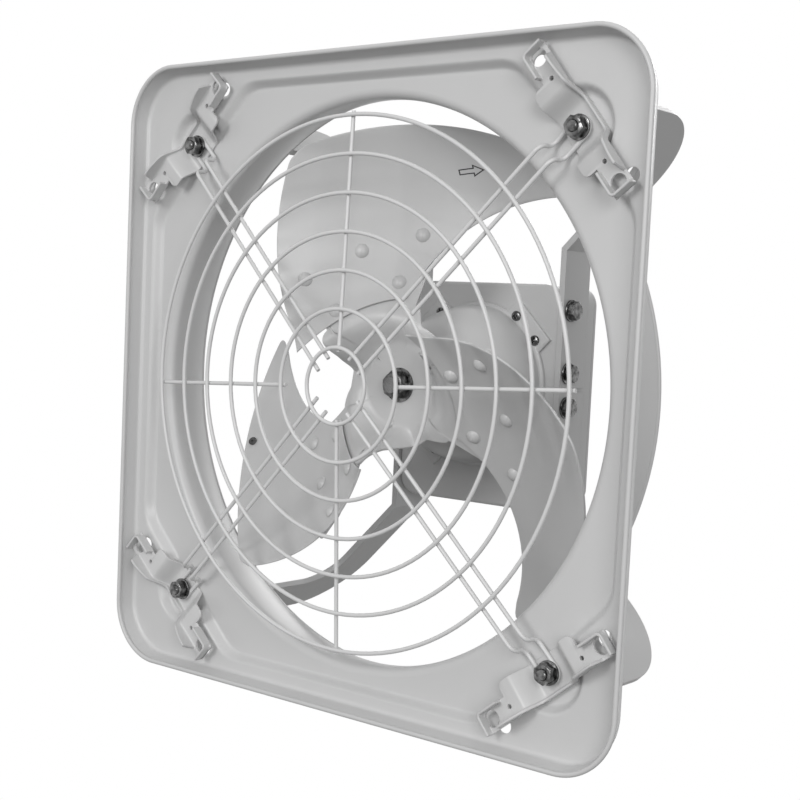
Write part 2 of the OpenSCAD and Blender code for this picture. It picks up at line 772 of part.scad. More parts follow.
module motor_rear_cover() {
    wall = motor_wall;
    end = plate_back + rear_dome_len;
    seat_back = rear_bearing_y + bearing_w;
    color("silver") difference() {
        union() {
            plate(motor_rear, plate_back) motor_shape(0);
            turned() polygon(concat(
                [[0, plate_back]], dome(rear_dome_r, nose_r, plate_back, end), [[0, end]]
            ));
        }
        turned() polygon([
            [0, motor_rear - 1], [rear_dome_r - wall, motor_rear - 1], [rear_dome_r - wall, plate_back],
            [nose_r, rear_bearing_y], [0, rear_bearing_y]
        ]);
        rod(bearing_d / 2 + weld_gap, rear_bearing_y - 1, seat_back);
        rod(shaft_d / 2 + air_gap, rear_bearing_y, seat_back + 4);
        translate([gland_at[0], 0, gland_at[1]])
            rod(gland_d / 4 + weld_gap, motor_rear - 1, plate_back + 1);
        each_rear_screw() rod(screw_d / 2 + weld_gap, motor_rear - 1, plate_back + 1);
    }
}
module rear_cover_screws() {
    color("dimgray") each_rear_screw() {
        rod(screw_d / 2, motor_rear - rear_screw_len, plate_back);
        rod(screw_d, plate_back, plate_back + screw_head_h);
    }
}
module stator_core() {
    slots = 24;
    slot_w = 5;
    slot_in = rotor_r + 3;
    slot_out = stator_r - 7;
    color("darkgray") difference() {
        rod(stator_r - weld_gap, stack_y, stack_y + stack_len);
        rod(rotor_r + air_gap, stack_y - 1, stack_y + stack_len + 1);
        for (k = [0 : slots - 1]) rotate([0, 360 / slots * k, 0])
            translate([slot_in, stack_y - 1, -slot_w / 2])
                cube([slot_out - slot_in, stack_len + 2, slot_w]);
    }
}
module stator_winding() {
    inner = rotor_r + 4;
    outer = stator_r - 8;
    front = stack_y - weld_gap;
    back = stack_y + stack_len + weld_gap;
    color("peru") {
        for (span = [[front - 10, front], [back, motor_rear - 2.5]])
            turned() translate([inner, span[0]]) square([outer - inner, span[1] - span[0]]);
    }
}
module bearing_outer(y) {
    color("lightgray") difference() {
        rod(bearing_d / 2, y, y + bearing_w);
        rod(race_r, y - 1, y + bearing_w + 1);
    }
}
module bearing_inner(y) {
    balls = 8;
    color("lightgray") {
        difference() {
            rod(inner_race_r, y, y + bearing_w);
            rod(shaft_d / 2 + weld_gap / 2, y - 1, y + bearing_w + 1);
        }
        for (k = [0 : balls - 1]) rotate([0, 360 / balls * k, 0])
            translate([ball_path, y + bearing_w / 2, 0]) sphere(ball_r, $fn = 24);
    }
}
module front_bearing_outer() { bearing_outer(front_bearing_y); }
module rear_bearing_outer() { bearing_outer(rear_bearing_y); }
module front_bearing_inner() { bearing_inner(front_bearing_y); }
module rear_bearing_inner() { bearing_inner(rear_bearing_y); }
module cable_gland() {
    color("darkgray") translate([gland_at[0], 0, gland_at[1]]) difference() {
        union() {
            rod(gland_d / 4, motor_rear - gland_nut_h, plate_back + 1);
            hex_rod(gland_d, plate_back, plate_back + gland_nut_h);
            rod(gland_d * 0.42, plate_back + gland_nut_h, plate_back + gland_len);
        }
        rod(gland_d / 6, motor_rear - gland_nut_h - 1, plate_back + gland_len + 1);
    }
}

// rotor
module shaft() {
    color("lightgray") {
        rod(shaft_end_d / 2, shaft_front, shaft_step_y);
        rod(shaft_d / 2, shaft_step_y, rear_bearing_y + bearing_w + 2);
    }
}
module rotor_core() {
    color("darkgray") difference() {
        rod(rotor_r, stack_y, stack_y + stack_len);
        rod(shaft_d / 2 + weld_gap / 2, stack_y - 1, stack_y + stack_len + 1);
    }
}
module hub_bore(y0, y1) {
    rod(shaft_end_d / 2 + weld_gap, y0, y1);
}
module hub_nut() {
    back = hub_y - washer_t;
    color("dimgray") difference() {
        hex_rod(hub_nut_af, back - hub_nut_h, back);
        hub_bore(back - hub_nut_h - 1, back + 1);
    }
}
module hub_washer() {
    color("dimgray") difference() {
        rod(hub_washer_d / 2, hub_y - washer_t, hub_y);
        hub_bore(hub_y - washer_t - 1, hub_y + 1);
    }
}
module hub_boss() {
    front = hub_y + hub_disc_t;
    color("silver") difference() {
        union() {
            rod(boss_flange_r, front, front + 4);
            rod(boss_r, front, front + boss_len);
        }
        hub_bore(front - 1, shaft_step_y + weld_gap);
        rod(shaft_d / 2 + weld_gap / 2, shaft_step_y - weld_gap, front + boss_len + 1);
    }
}
// the hub plate is flat in the middle and turns into the blades' pitch along its three arms
function arm_home(a) = (a - arm_angle + 660) % 120 - 60 + arm_angle;
function arm_off(a) = abs(arm_home(a) - arm_angle);
function arm_reach(a) =
    let (foot = spider_arm_half + arm_ease - arm_off(a))
    spider_gap_r + arm_flare * smooth((foot + flare_run) / flare_run)
    + (spider_arm_r - spider_gap_r - arm_flare) * smooth(foot / arm_ease);
function arm_share(r, a) = smooth((r - hub_disc_r) / (blade_root_r - root_dip - spider_t - hub_disc_r))
    * smooth((60 - arm_off(a)) / arm_twist);
function spider_y(r, a) =
    let (
        behind = (blade_t / 2 + plate_gap + spider_t / 2) / cos(pitch_root),
        blade = blade_at(r, blade_v(r, arm_home(a))) + behind,
        flat = hub_y + hub_disc_t / 2
    )
    flat + arm_share(r, a) * (blade - flat);
function spider_half(r, a) = spider_t / 2 * (1 + arm_share(r, a) * (1 / cos(pitch_root) - 1));
// angles of the columns from the middle of an arm to the next, close together at the arm's edges
function arm_columns() =
    let (
        edge = spider_arm_half - 2,
        out = spider_arm_half + arm_ease + 2,
        side = concat(
            [for (k = [0 : 4]) edge * k / 5],
            [for (k = [0 : 9]) edge + (out - edge) * k / 10],
            [for (k = [0 : 4]) out + (60 - out) * k / 5]
        )
    )
    concat(side, [60], [for (k = [len(side) - 1 : -1 : 1]) 120 - side[k]]);
module hub_spider() {
    columns = [for (k = [0 : 2], c = arm_columns()) arm_angle + 120 * k + c];
    n = len(columns);
    m = spider_rows + 1;
    rows = [
        for (i = [0 : m - 1], a = columns)
            [spider_core_r + (arm_reach(a) - spider_core_r) * i / spider_rows, a]
    ];
    points = concat(
        [for (q = rows) polar(q[0], q[1], spider_y(q[0], q[1]) - spider_half(q[0], q[1]))],
        [for (q = rows) polar(q[0], q[1], spider_y(q[0], q[1]) + spider_half(q[0], q[1]))]
    );
    back = m * n;
    quads = concat(
        [for (i = [0 : m - 2], j = [0 : n - 1])
            let (a = i * n + j, b = i * n + (j + 1) % n) [a, b, b + n, a + n]],
        [for (i = [0 : m - 2], j = [0 : n - 1])
            let (a = back + i * n + j, b = back + i * n + (j + 1) % n) [a, a + n, b + n, b]],
        [for (j = [0 : n - 1])
            let (a = (m - 1) * n + j, b = (m - 1) * n + (j + 1) % n) [a, b, b + back, a + back]],
        [for (j = [0 : n - 1])
            let (a = j, b = (j + 1) % n) [a, a + back, b + back, b]]
    );
    faces = [
        for (q = quads)
            each norm(points[q[0]] - points[q[2]]) < norm(points[q[1]] - points[q[3]])
                ? [[q[0], q[1], q[2]], [q[0], q[2], q[3]]]
                : [[q[0], q[1], q[3]], [q[1], q[2], q[3]]]
    ];
    color("gainsboro") difference() {
        union() {
            polyhedron(points, faces);
            rod(hub_disc_r, hub_y, hub_y + hub_disc_t);
        }
        hub_bore(hub_y - 1, hub_y + hub_disc_t + 1);
        for (k = [0 : 2], s = rivet_spots) at_rivet(k, s) rod(rivet_shank_d / 2 + weld_gap, -2, 8);
    }
}
// local frame on a blade's middle surface, -Y pointing out of its front face
module at_rivet(k, spot) {
    r = spot[0];
    a = spot[1];
    tilt = blade_tilt(r, a);
    rise = (blade_at(r + 1, blade_v(r + 1, a)) - blade_at(r - 1, blade_v(r - 1, a))) / 2;
    rotate([0, -a - 120 * k, 0]) translate([r, blade_at(r, blade_v(r, a)), 0])
        rotate([tilt, 0, 0]) rotate([0, 0, atan(rise * cos(tilt))]) children();
}
module blade(k) {
    half = blade_t / 2 / cos(pitch_root);
    m = blade_steps;
    n = chord_steps + 1;
    skin = [
        for (i = [0 : m - 1], j = [0 : n - 1])
            let (
                v = (1 - cos(180 * j / chord_steps)) / 2,
                root = root_at(v),
                r = root + (tip_at(v) - root) * i / (m - 1),
                a = blade_mid(r) + blade_half(r) * (1 - 2 * v) + heel(r) * pow(1 - v, 4)
            )
            polar(r, a, blade_at(r, blade_v(r, a)))
    ];
    points = concat([for (p = skin) p - [0, half, 0]], [for (p = skin) p + [0, half, 0]]);
    faces = concat(grid(m, n, 0, true), grid(m, n, m * n, false), skirt(border(m, n), m * n));
    color("gainsboro") difference() {
        rotate([0, -120 * k, 0]) polyhedron(points, faces);
        for (s = rivet_spots) at_rivet(k, s) rod(rivet_shank_d / 2 + weld_gap, -4, 4);
        if (k == 1) at_rivet(k, eyelet_spot) rod(eyelet_d / 4 + weld_gap, -4, 4);
    }
}
module blade_1() { blade(0); }
module blade_2() { blade(-1); }
module blade_3() { blade(1); }
module rivet_head(d, h) {
    ball = (d * d / 4 + h * h) / (2 * h);
    turned() intersection() {
        translate([0, ball - h]) circle(ball);
        translate([0, -h]) square([d, h]);
    }
}
module blade_rivets() {
    face = -blade_t / 2 - seat_gap;
    tail = blade_t / 2 + plate_gap + spider_t + seat_gap;
    color("gainsboro") for (k = [0 : 2], s = rivet_spots) at_rivet(k, s) {
        translate([0, face, 0]) rivet_head(rivet_d, rivet_h);
        rod(rivet_shank_d / 2, face, tail);
        rod(rivet_tail_d / 2, tail, tail + rivet_tail_h);
    }
}
module balance_rivet() {
    face = blade_t / 2 + plate_gap;
    end = face + eyelet_h;
    color("dimgray") at_rivet(1, eyelet_spot) difference() {
        union() {
            rod(eyelet_d / 2, -end, -face);
            rod(eyelet_d / 4, -face, face);
            rod(eyelet_d / 2, face, end);
        }
        rod(eyelet_d / 8, -end - 1, end + 1);
    }
}

frame_panel();
guard_rings();
guard_spokes();
guard_arm_upper_right();
guard_arm_lower_right();
guard_arm_lower_left();
guard_arm_upper_left();
hook_bracket_upper_right();
hook_bracket_lower_right();
hook_bracket_lower_left();
hook_bracket_upper_left();
corner_bolts();
corner_washers();
corner_nuts();
motor_stay_upper_right();
motor_stay_lower_right();
motor_stay_lower_left();
motor_stay_upper_left();
stay_bolts();
stay_washers();
motor_body();
motor_front_cover();
motor_rear_cover();
front_cover_screws();
rear_cover_screws();
stator_core();
stator_winding();
front_bearing_outer();
rear_bearing_outer();
cable_gland();
shaft();
rotor_core();
front_bearing_inner();
rear_bearing_inner();
hub_spider();
hub_boss();
hub_washer();
hub_nut();
blade_1();
blade_2();
blade_3();
blade_rivets();
balance_rivet();
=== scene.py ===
import json
import math

import bmesh
import bpy
import numpy as np
from mathutils import Matrix


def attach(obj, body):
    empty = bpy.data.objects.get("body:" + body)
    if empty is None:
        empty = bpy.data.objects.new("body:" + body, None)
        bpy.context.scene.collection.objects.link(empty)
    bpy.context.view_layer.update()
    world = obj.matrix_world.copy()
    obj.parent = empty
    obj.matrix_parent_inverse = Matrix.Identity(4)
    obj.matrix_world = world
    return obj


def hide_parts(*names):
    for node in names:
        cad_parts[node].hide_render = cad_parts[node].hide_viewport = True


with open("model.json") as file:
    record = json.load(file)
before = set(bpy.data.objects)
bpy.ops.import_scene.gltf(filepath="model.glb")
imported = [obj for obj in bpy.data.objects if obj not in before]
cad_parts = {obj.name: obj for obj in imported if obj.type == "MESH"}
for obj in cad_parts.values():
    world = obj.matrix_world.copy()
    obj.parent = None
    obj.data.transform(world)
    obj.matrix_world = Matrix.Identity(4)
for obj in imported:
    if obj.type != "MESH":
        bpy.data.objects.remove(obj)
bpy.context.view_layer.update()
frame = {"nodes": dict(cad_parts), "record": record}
print("stage: frame loaded")


def smoothStep(value):  # cubic ease from 0 to 1
    t = np.clip(value, 0, 1)
    return t * t * (3 - 2 * t)


def smoothMin(a, b, width):  # least of two fields with a rounded meeting line
    h = np.clip(width - np.abs(a - b), 0, None) / width
    return np.minimum(a, b) - h * h * width / 4


def gridFaces(rows, columns, closeRows, closeColumns, base):  # one quad between four neighbours of a grid
    index = np.arange(rows * columns).reshape(rows, columns) + base
    if closeRows:
        index = np.vstack([index, index[:1]])
    if closeColumns:
        index = np.hstack([index, index[:, :1]])
    quads = np.stack([index[:-1, :-1], index[1:, :-1], index[1:, 1:], index[:-1, 1:]], -1)
    return quads.reshape(-1, 4).tolist()


def buildPiece(name, patches, body, slotName, nodes=(), sharpAngle=38):
    points, faces, base = [], [], 0
    for patch in patches:  # each patch is one grid of points in millimetres
        grid = np.asarray(patch["grid"], float)
        rows, columns = grid.shape[:2]
        faces += gridFaces(rows, columns, patch.get("closeRows"), patch.get("closeColumns"), base)
        for row in patch.get("caps", ()):  # flat lids on the first or last row
            faces.append((base + (row % rows) * columns + np.arange(columns)).tolist())
        points.append(grid.reshape(-1, 3) * 0.001)
        base += rows * columns
    mesh = bpy.data.meshes.new(name)
    mesh.from_pydata(np.vstack(points).tolist(), [], faces)
    work = bmesh.new()
    work.from_mesh(mesh)
    bmesh.ops.remove_doubles(work, verts=work.verts, dist=1e-6)
    bmesh.ops.dissolve_degenerate(work, edges=work.edges, dist=1e-7)
    bmesh.ops.recalc_face_normals(work, faces=work.faces)
    work.to_mesh(mesh)
    work.free()
    mesh.shade_smooth()
    mesh.set_sharp_from_angle(angle=math.radians(sharpAngle))
    piece = bpy.data.objects.new(name, mesh)
    bpy.context.scene.collection.objects.link(piece)
    mesh.materials.append(materials[slotName])
    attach(piece, body)
    if nodes:
        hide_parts(*nodes)
    return piece


def polarPoints(radius, angle, depth):  # angle in degrees from +X, seen from the front
    a = np.radians(angle)
    return np.stack(np.broadcast_arrays(radius * np.cos(a), depth, radius * np.sin(a)), -1)


def arcRow(start, end, count):  # even angles from start to end, in radians
    return np.radians(np.linspace(start, end, count))


def addNode(tree, kind, **values):
    node = tree.nodes.new(kind)
    for key, value in values.items():
        setattr(node, key, value)
    return node


def makeMaterial(name, look):
    material = bpy.data.materials.new(name)
    material.use_nodes = True
    tree = material.node_tree
    shader = tree.nodes["Principled BSDF"]
    place = addNode(tree, "ShaderNodeTexCoord")
    cloud = addNode(tree, "ShaderNodeTexNoise")
    cloud.inputs["Scale"].default_value = look["cloudScale"]
    cloud.inputs["Detail"].default_value = 4
    tree.links.new(place.outputs["Object"], cloud.inputs["Vector"])
    ramp = addNode(tree, "ShaderNodeValToRGB")
    ramp.color_ramp.elements[0].position = 0.3
    ramp.color_ramp.elements[1].position = 0.7
    # mottle between a darker and a lighter copy of the base colour; mostly random tone, but on dark_zinc it is wide
    # enough to be painted glints
    dark, light = 1 - look["spread"], 1 + look["spread"]
    ramp.color_ramp.elements[0].color = [c * dark for c in look["base"]] + [1]
    ramp.color_ramp.elements[1].color = [min(1, c * light) for c in look["base"]] + [1]
    tree.links.new(cloud.outputs["Fac"], ramp.inputs["Fac"])
    tree.links.new(ramp.outputs["Color"], shader.inputs["Base Color"])
    grain = addNode(tree, "ShaderNodeTexNoise")
    grain.inputs["Scale"].default_value = look["grainScale"]
    grain.inputs["Detail"].default_value = 2
    tree.links.new(place.outputs["Object"], grain.inputs["Vector"])
    span = addNode(tree, "ShaderNodeMapRange")
    span.inputs["To Min"].default_value = look["roughness"] - 0.04
    span.inputs["To Max"].default_value = look["roughness"] + 0.04
    tree.links.new(grain.outputs["Fac"], span.inputs["Value"])
    tree.links.new(span.outputs["Result"], shader.inputs["Roughness"])
    bump = addNode(tree, "ShaderNodeBump")
    bump.inputs["Strength"].default_value = look["bump"]
    bump.inputs["Distance"].default_value = 0.0004
    tree.links.new(grain.outputs["Fac"], bump.inputs["Height"])
    if look.get("softEdge"):
        edge = addNode(tree, "ShaderNodeBevel", samples=4)
        edge.inputs["Radius"].default_value = look["softEdge"]
        tree.links.new(edge.outputs["Normal"], bump.inputs["Normal"])
    tree.links.new(bump.outputs["Normal"], shader.inputs["Normal"])
    shader.inputs["Metallic"].default_value = look["metallic"]
    shader.inputs["Specular IOR Level"].default_value = look["specular"]
    return material


paint = {"base": (0.60, 0.60, 0.60), "spread": 0.015, "cloudScale": 9, "grainScale": 420,
         "roughness": 0.36, "bump": 0.03, "metallic": 0, "specular": 0.5}
looks = {
    "frame_paint": paint,
    "guard_paint": {**paint, "base": (0.68, 0.68, 0.68), "roughness": 0.32},
    "bracket_paint": {**paint, "base": (0.60, 0.60, 0.60), "softEdge": 0.0007},
    "stay_paint": {**paint, "base": (0.57, 0.57, 0.57), "softEdge": 0.0009},
    "motor_paint": {**paint, "base": (0.57, 0.57, 0.57)},
    "blade_paint": {**paint, "base": (0.58, 0.58, 0.58), "roughness": 0.33},
    # dark_zinc: the wide, fine mottle of light and dark spots (spread 0.85 at cloudScale 240) is painted glints,
    # standing in for reflections on the zinc
    "dark_zinc": {"base": (0.13, 0.13, 0.13), "spread": 0.85, "cloudScale": 240, "grainScale": 600,
                  "roughness": 0.2, "bump": 0.08, "metallic": 1, "specular": 0.5},
    "bright_steel": {"base": (0.20, 0.20, 0.20), "spread": 0.4, "cloudScale": 60, "grainScale": 500,
                     "roughness": 0.25, "bump": 0.05, "metallic": 1, "specular": 0.5},
    "core_steel": {"base": (0.30, 0.30, 0.31), "spread": 0.10, "cloudScale": 60, "grainScale": 400,
                   "roughness": 0.55, "bump": 0.1, "metallic": 0.8, "specular": 0.5},
    "winding": {"base": (0.45, 0.18, 0.06), "spread": 0.15, "cloudScale": 200, "grainScale": 300,
                "roughness": 0.40, "bump": 0.2, "metallic": 0.7, "specular": 0.5},
    "gland_plastic": {"base": (0.035, 0.035, 0.035), "spread": 0.1, "cloudScale": 80, "grainScale": 500,
                      "roughness": 0.5, "bump": 0.05, "metallic": 0, "specular": 0.4},
}
materials = {name: makeMaterial(name, look) for name, look in looks.items()}
for part in frame["record"]["subparts"]:
    solid = frame["nodes"][part["node"]]
    solid.data.materials.clear()
    solid.data.materials.append(materials[part["material_slot"]])
print("stage: materials")


panel = {"throat": 206.5, "bell": 6.5, "flareOut": 11.5, "flareDepth": 40.5, "flareBead": 1.5,
         "sheet": 1.2, "floorHalf": 219.5, "stepRun": 5.5, "floorFront": 5.8, "half": 240, "corner": 46,
         "rimDepth": 16, "rimLean": 4, "rimBead": 1.8, "rimBend": 3.5, "stud": 251.3, "pocket": 22,
         "cut": 242.3, "holeNear": 146.4, "holeFar": 220, "holeRadius": 5.25,
         "columns": 480, "frontRows": 76, "backRows": 36}


def squareRadius(angle, half, corner):  # rounded square in polar form
    c, s = np.abs(np.cos(angle)), np.abs(np.sin(angle))
    side = half / np.maximum(c, s)
    k = half - corner
    b = k * (c + s)
    bend = b + np.sqrt(np.maximum(b * b - 2 * k * k + corner * corner, 0))
    return np.where(side * np.minimum(c, s) <= k, side, bend)


def plateDepth(x, z, p):  # recess floor inside, border outside, a soft step between
    ax, az = np.abs(x), np.abs(z)
    side = -smoothMin(p["floorHalf"] - ax, p["floorHalf"] - az, 4)
    side = -smoothMin(-side, p["cut"] - (ax + az) / math.sqrt(2), 9)
    at = p["stud"] / math.sqrt(2)
    pocket = np.hypot(ax - at, az - at) - p["pocket"]
    away = smoothMin(side, pocket, 4)
    rise = smoothStep((away + 0.6) / (p["stepRun"] + 1.2))
    return p["floorFront"] - (p["floorFront"] + p["sheet"]) * rise


def framePatch(p):  # bell, plate, rim, back of plate and flare as one closed profile round the axis
    q = np.linspace(-1, 1, p["columns"] // 4, endpoint=False)
    corner = 45 * (0.45 * q + 0.55 * q ** 3)  # closer columns at the corners
    angle = np.radians(np.concatenate([corner + 45 + 90 * k for k in range(4)]))
    rows = []

    def addRow(radius, depth):
        radius = np.broadcast_to(radius, angle.shape)
        rows.append(np.stack([radius * np.cos(angle), np.broadcast_to(depth, angle.shape),
                              radius * np.sin(angle)], -1))

    mouth = p["throat"] + p["bell"]
    throatY = p["floorFront"] + p["bell"]
    wall = p["half"] - p["rimLean"] - p["sheet"]
    bend, t = p["rimBend"], p["sheet"]
    startHalf = wall - bend
    startCorner = p["corner"] - (p["half"] - startHalf)
    edge = squareRadius(angle, startHalf, startCorner)

    def plateRows(shares, lift):
        for share in shares:
            radius = mouth + share * (edge - mouth)
            addRow(radius, plateDepth(radius * np.cos(angle), radius * np.sin(angle), p) + lift)

    def rimRow(half, depth):
        addRow(squareRadius(angle, half, p["corner"] - (p["half"] - half)), depth)

    for a in arcRow(0, 90, 8)[:-1]:
        addRow(mouth - p["bell"] * np.cos(a), throatY - p["bell"] * np.sin(a))
    plateRows(np.linspace(0, 1, p["frontRows"]), 0)
    beadHalf, beadY = p["half"] - p["rimBead"], p["rimBead"] - p["rimDepth"]
    for a in arcRow(15, 84, 6):
        rimRow(startHalf + bend * np.sin(a), -t - bend * (1 - np.cos(a)))
    for a in arcRow(128, 410, 16):
        rimRow(beadHalf + p["rimBead"] * np.cos(a), beadY + p["rimBead"] * np.sin(a))
    for a in arcRow(84, 12, 6):
        rimRow(startHalf + (bend + t) * np.sin(a), -t - bend + (bend + t) * np.cos(a))
    plateRows(np.linspace(1, 0, p["backRows"]), t)
    for a in arcRow(90, 0, 7)[1:-1]:
        addRow(mouth - (p["bell"] - t) * np.cos(a), throatY - (p["bell"] - t) * np.sin(a))
    flare = (p["flareDepth"] ** 2 + p["flareOut"] ** 2) / (2 * p["flareOut"])
    sweep = math.degrees(math.asin(p["flareDepth"] / flare))
    centre = p["throat"] + flare
    for a in arcRow(0, sweep - 1.2, 12):
        addRow(centre - (flare - t) * np.cos(a), throatY + (flare - t) * np.sin(a))
    a = math.radians(sweep)
    endR, endY = centre - (flare - t / 2) * math.cos(a), throatY + (flare - t / 2) * math.sin(a)
    for b in arcRow(-35, 215, 12):
        out, along = p["flareBead"] * np.cos(b), p["flareBead"] * np.sin(b)
        addRow(endR + out * math.cos(a) + along * math.sin(a), endY - out * math.sin(a) + along * math.cos(a))
    for a in arcRow(sweep - 1.2, 0, 18)[:-1]:
        addRow(centre - flare * np.cos(a), throatY + flare * np.sin(a))
    return {"grid": np.array(rows), "closeRows": True, "closeColumns": True}


def drillPatch(x, z, radius, y0, y1):  # plain cylinder along the depth
    turn = np.radians(np.arange(0, 360, 7.5))
    rows = [np.stack([x + radius * np.cos(turn), np.full(turn.shape, y), z + radius * np.sin(turn)], -1)
            for y in (y0, y1)]
    return {"grid": np.array(rows), "closeColumns": True, "caps": (0, -1)}


def cutAway(piece, drills):  # the piece less its drills
    drill = buildPiece("drill", drills, "fan_frame", "frame_paint")
    cut = piece.modifiers.new("holes", "BOOLEAN")
    cut.object = drill
    cut.solver = "EXACT"
    view = bpy.context.evaluated_depsgraph_get()
    mesh = bpy.data.meshes.new_from_object(piece.evaluated_get(view))
    piece.modifiers.clear()
    piece.data = mesh
    bpy.data.objects.remove(drill)
    mesh.set_sharp_from_angle(angle=math.radians(38))


framePiece = buildPiece("framePanel", [framePatch(panel)], "fan_frame", "frame_paint", ["frame_panel"])
near, far = panel["holeNear"], panel["holeFar"]
holeSpots = [(x * a, z * b) for a, b in ((near, far), (far, near)) for x in (-1, 1) for z in (-1, 1)]
cutAway(framePiece, [drillPatch(x, z, panel["holeRadius"], -4, 4) for x, z in holeSpots])
print("stage: frame panel")


prop = {"root": 65, "tip": 195, "armAngle": 111, "lead": 10.2, "sweep": 35, "curl": 7.5, "span": 59,
        "waist": 3.3, "waistAt": 0.54, "pitch": 33.6, "pitchLoss": 4, "camber": 0.095, "frontY": 0.6,
        "tipDrop": 8.3, "tipCrest": 0.55, "tipFront": 9, "tipRear": 16, "thick": 1.6,
        "rootDip": 4.5, "rootHeel": 2.6, "heelAt": 0.12, "chord": 205, "rows": 56,
        "hubY": 50, "discR": 30, "discT": 3.4, "plateT": 2.5, "gap": 0.8, "gapR": 48, "armR": 121,
        "armHalf": 24, "armEase": 6, "armFlare": 12, "flareRun": 16, "armTwist": 22, "boreR": 6.2,
        "plateRun": 100, "plateRows": 46, "turnSteps": 540}


def bladeMid(r, p):  # middle angle falls with the radius, faster towards the tip
    u = (r - p["root"]) / (p["tip"] - p["root"])
    return p["armAngle"] + p["lead"] - p["sweep"] * u - p["curl"] * u * u


def bladeHalf(r, p):  # half span, least at the waist and growing with the square of the distance
    w = 1 - (r - p["root"]) / (p["tip"] - p["root"]) / p["waistAt"]
    return p["span"] / 2 + p["waist"] * w * w


def bladeY(r, v, p):  # depth grows along the chord by the pitch, plus a parabola of camber
    u = (r - p["root"]) / (p["tip"] - p["root"])
    slope = np.tan(np.radians(p["pitch"] - p["pitchLoss"] * u * u))
    depth = r * 2 * np.radians(bladeHalf(r, p)) * slope
    return p["frontY"] + depth * (v + 4 * p["camber"] * v * (1 - v))


def cornerLoss(x, r):  # height lost to a quarter circle at distance x from the edge
    x = np.minimum(x, r)
    return r - np.sqrt(r * r - (r - x) ** 2)


def tipRadius(v, p):  # parabola about the crest, less two rounded corners
    chord = p["tip"] * 2 * np.radians(bladeHalf(p["tip"], p))
    w = (v - p["tipCrest"]) / p["tipCrest"]
    return (p["tip"] - p["tipDrop"] * w * w - cornerLoss(v * chord, p["tipFront"])
            - cornerLoss((1 - v) * chord, p["tipRear"]))


def gridNormal(points):  # cross product of the two grid directions
    along, across = np.gradient(points, axis=0), np.gradient(points, axis=1)
    normal = np.cross(along, across)
    return normal / np.maximum(np.linalg.norm(normal, axis=-1, keepdims=True), 1e-9)


def edgeShares(length, radius, count):  # even steps with a few close ones at both ends
    close = radius * np.array([0, 0.04, 0.15, 0.4, 0.75, 1.0]) / length
    return np.concatenate([close, np.linspace(close[-1], 1 - close[-1], count)[1:-1], 1 - close[::-1]])


def bladePatches(k, p):  # middle sheet moved out both ways by half a sheet, rounded at its edges
    s = edgeShares(p["tip"] - p["root"], p["thick"] / 2, p["rows"])[:, None]
    v = edgeShares(p["chord"], p["thick"] / 2, p["rows"])[None, :]
    root = p["root"] - p["rootDip"] * (1 - v * v)
    r = root + (tipRadius(v, p) - root) * s
    heel = np.clip(1 - (r - p["root"]) / (p["tip"] - p["root"]) / p["heelAt"], 0, None)
    angle = bladeMid(r, p) + bladeHalf(r, p) * (1 - 2 * v) + p["rootHeel"] * heel ** 2 * (1 - v) ** 4
    along = (bladeMid(r, p) + bladeHalf(r, p) - angle) / (2 * bladeHalf(r, p))
    middle = polarPoints(r, angle + 120 * k, bladeY(r, along, p))
    normal = gridNormal(middle)
    half = p["thick"] / 2
    reach = np.minimum(np.minimum(s, 1 - s) * (p["tip"] - p["root"]), np.minimum(v, 1 - v) * p["chord"])
    share = np.clip(reach / half, 0, 1)
    bulge = (half * np.sqrt(1 - (1 - share) ** 2))[..., None]
    return [{"grid": middle + normal * bulge}, {"grid": middle - normal * bulge}]


def spiderPatches(p):  # flat disc that eases into arms lying behind the blades
    angle = np.linspace(0, 360, p["turnSteps"], endpoint=False)[None, :]
    home = (angle - p["armAngle"] + 660) % 120 - 60 + p["armAngle"]
    off = np.abs(home - p["armAngle"])
    foot = p["armHalf"] + p["armEase"] - off
    reachR = p["gapR"] + p["armFlare"] * smoothStep(foot / p["flareRun"] + 1)
    reachR = reachR + (p["armR"] - p["gapR"] - p["armFlare"]) * smoothStep(foot / p["armEase"])
    s = edgeShares(p["plateRun"], p["plateT"] / 2, p["plateRows"])[:, None]
    r = p["boreR"] + (reachR - p["boreR"]) * s
    v = (bladeMid(r, p) + bladeHalf(r, p) - home) / (2 * bladeHalf(r, p))
    behind = (p["thick"] / 2 + p["gap"] + p["plateT"] / 2) / math.cos(math.radians(p["pitch"]))
    share = smoothStep((r - p["discR"]) / (p["root"] - p["rootDip"] - p["plateT"] - p["discR"]))
    share = share * smoothStep((60 - off) / p["armTwist"])
    flat = p["hubY"] + p["discT"] / 2
    depth = flat + share * (bladeY(r, v, p) + behind - flat)
    middle = polarPoints(r, np.broadcast_to(angle, r.shape), depth)
    wrapped = np.concatenate([middle[:, -1:], middle, middle[:, :1]], axis=1)
    normal = gridNormal(wrapped)[:, 1:-1]
    half = (p["discT"] + (p["plateT"] - p["discT"]) * smoothStep((r - p["discR"] + 2) / 6)) / 2
    edge = np.clip(np.minimum(s, 1 - s) * p["plateRun"] / (p["plateT"] / 2), 0, 1)
    bulge = (half * np.sqrt(1 - (1 - edge) ** 2))[..., None]
    return [{"grid": middle + normal * bulge, "closeColumns": True},
            {"grid": middle - normal * bulge, "closeColumns": True}]


for number, k in ((1, 0), (2, -1), (3, 1)):
    buildPiece(f"blade{number}", bladePatches(k, prop), "rotor", "blade_paint", [f"blade_{number}"], 60)
buildPiece("hubSpider", spiderPatches(prop), "rotor", "blade_paint", ["hub_spider"], 60)
print("stage: propeller")


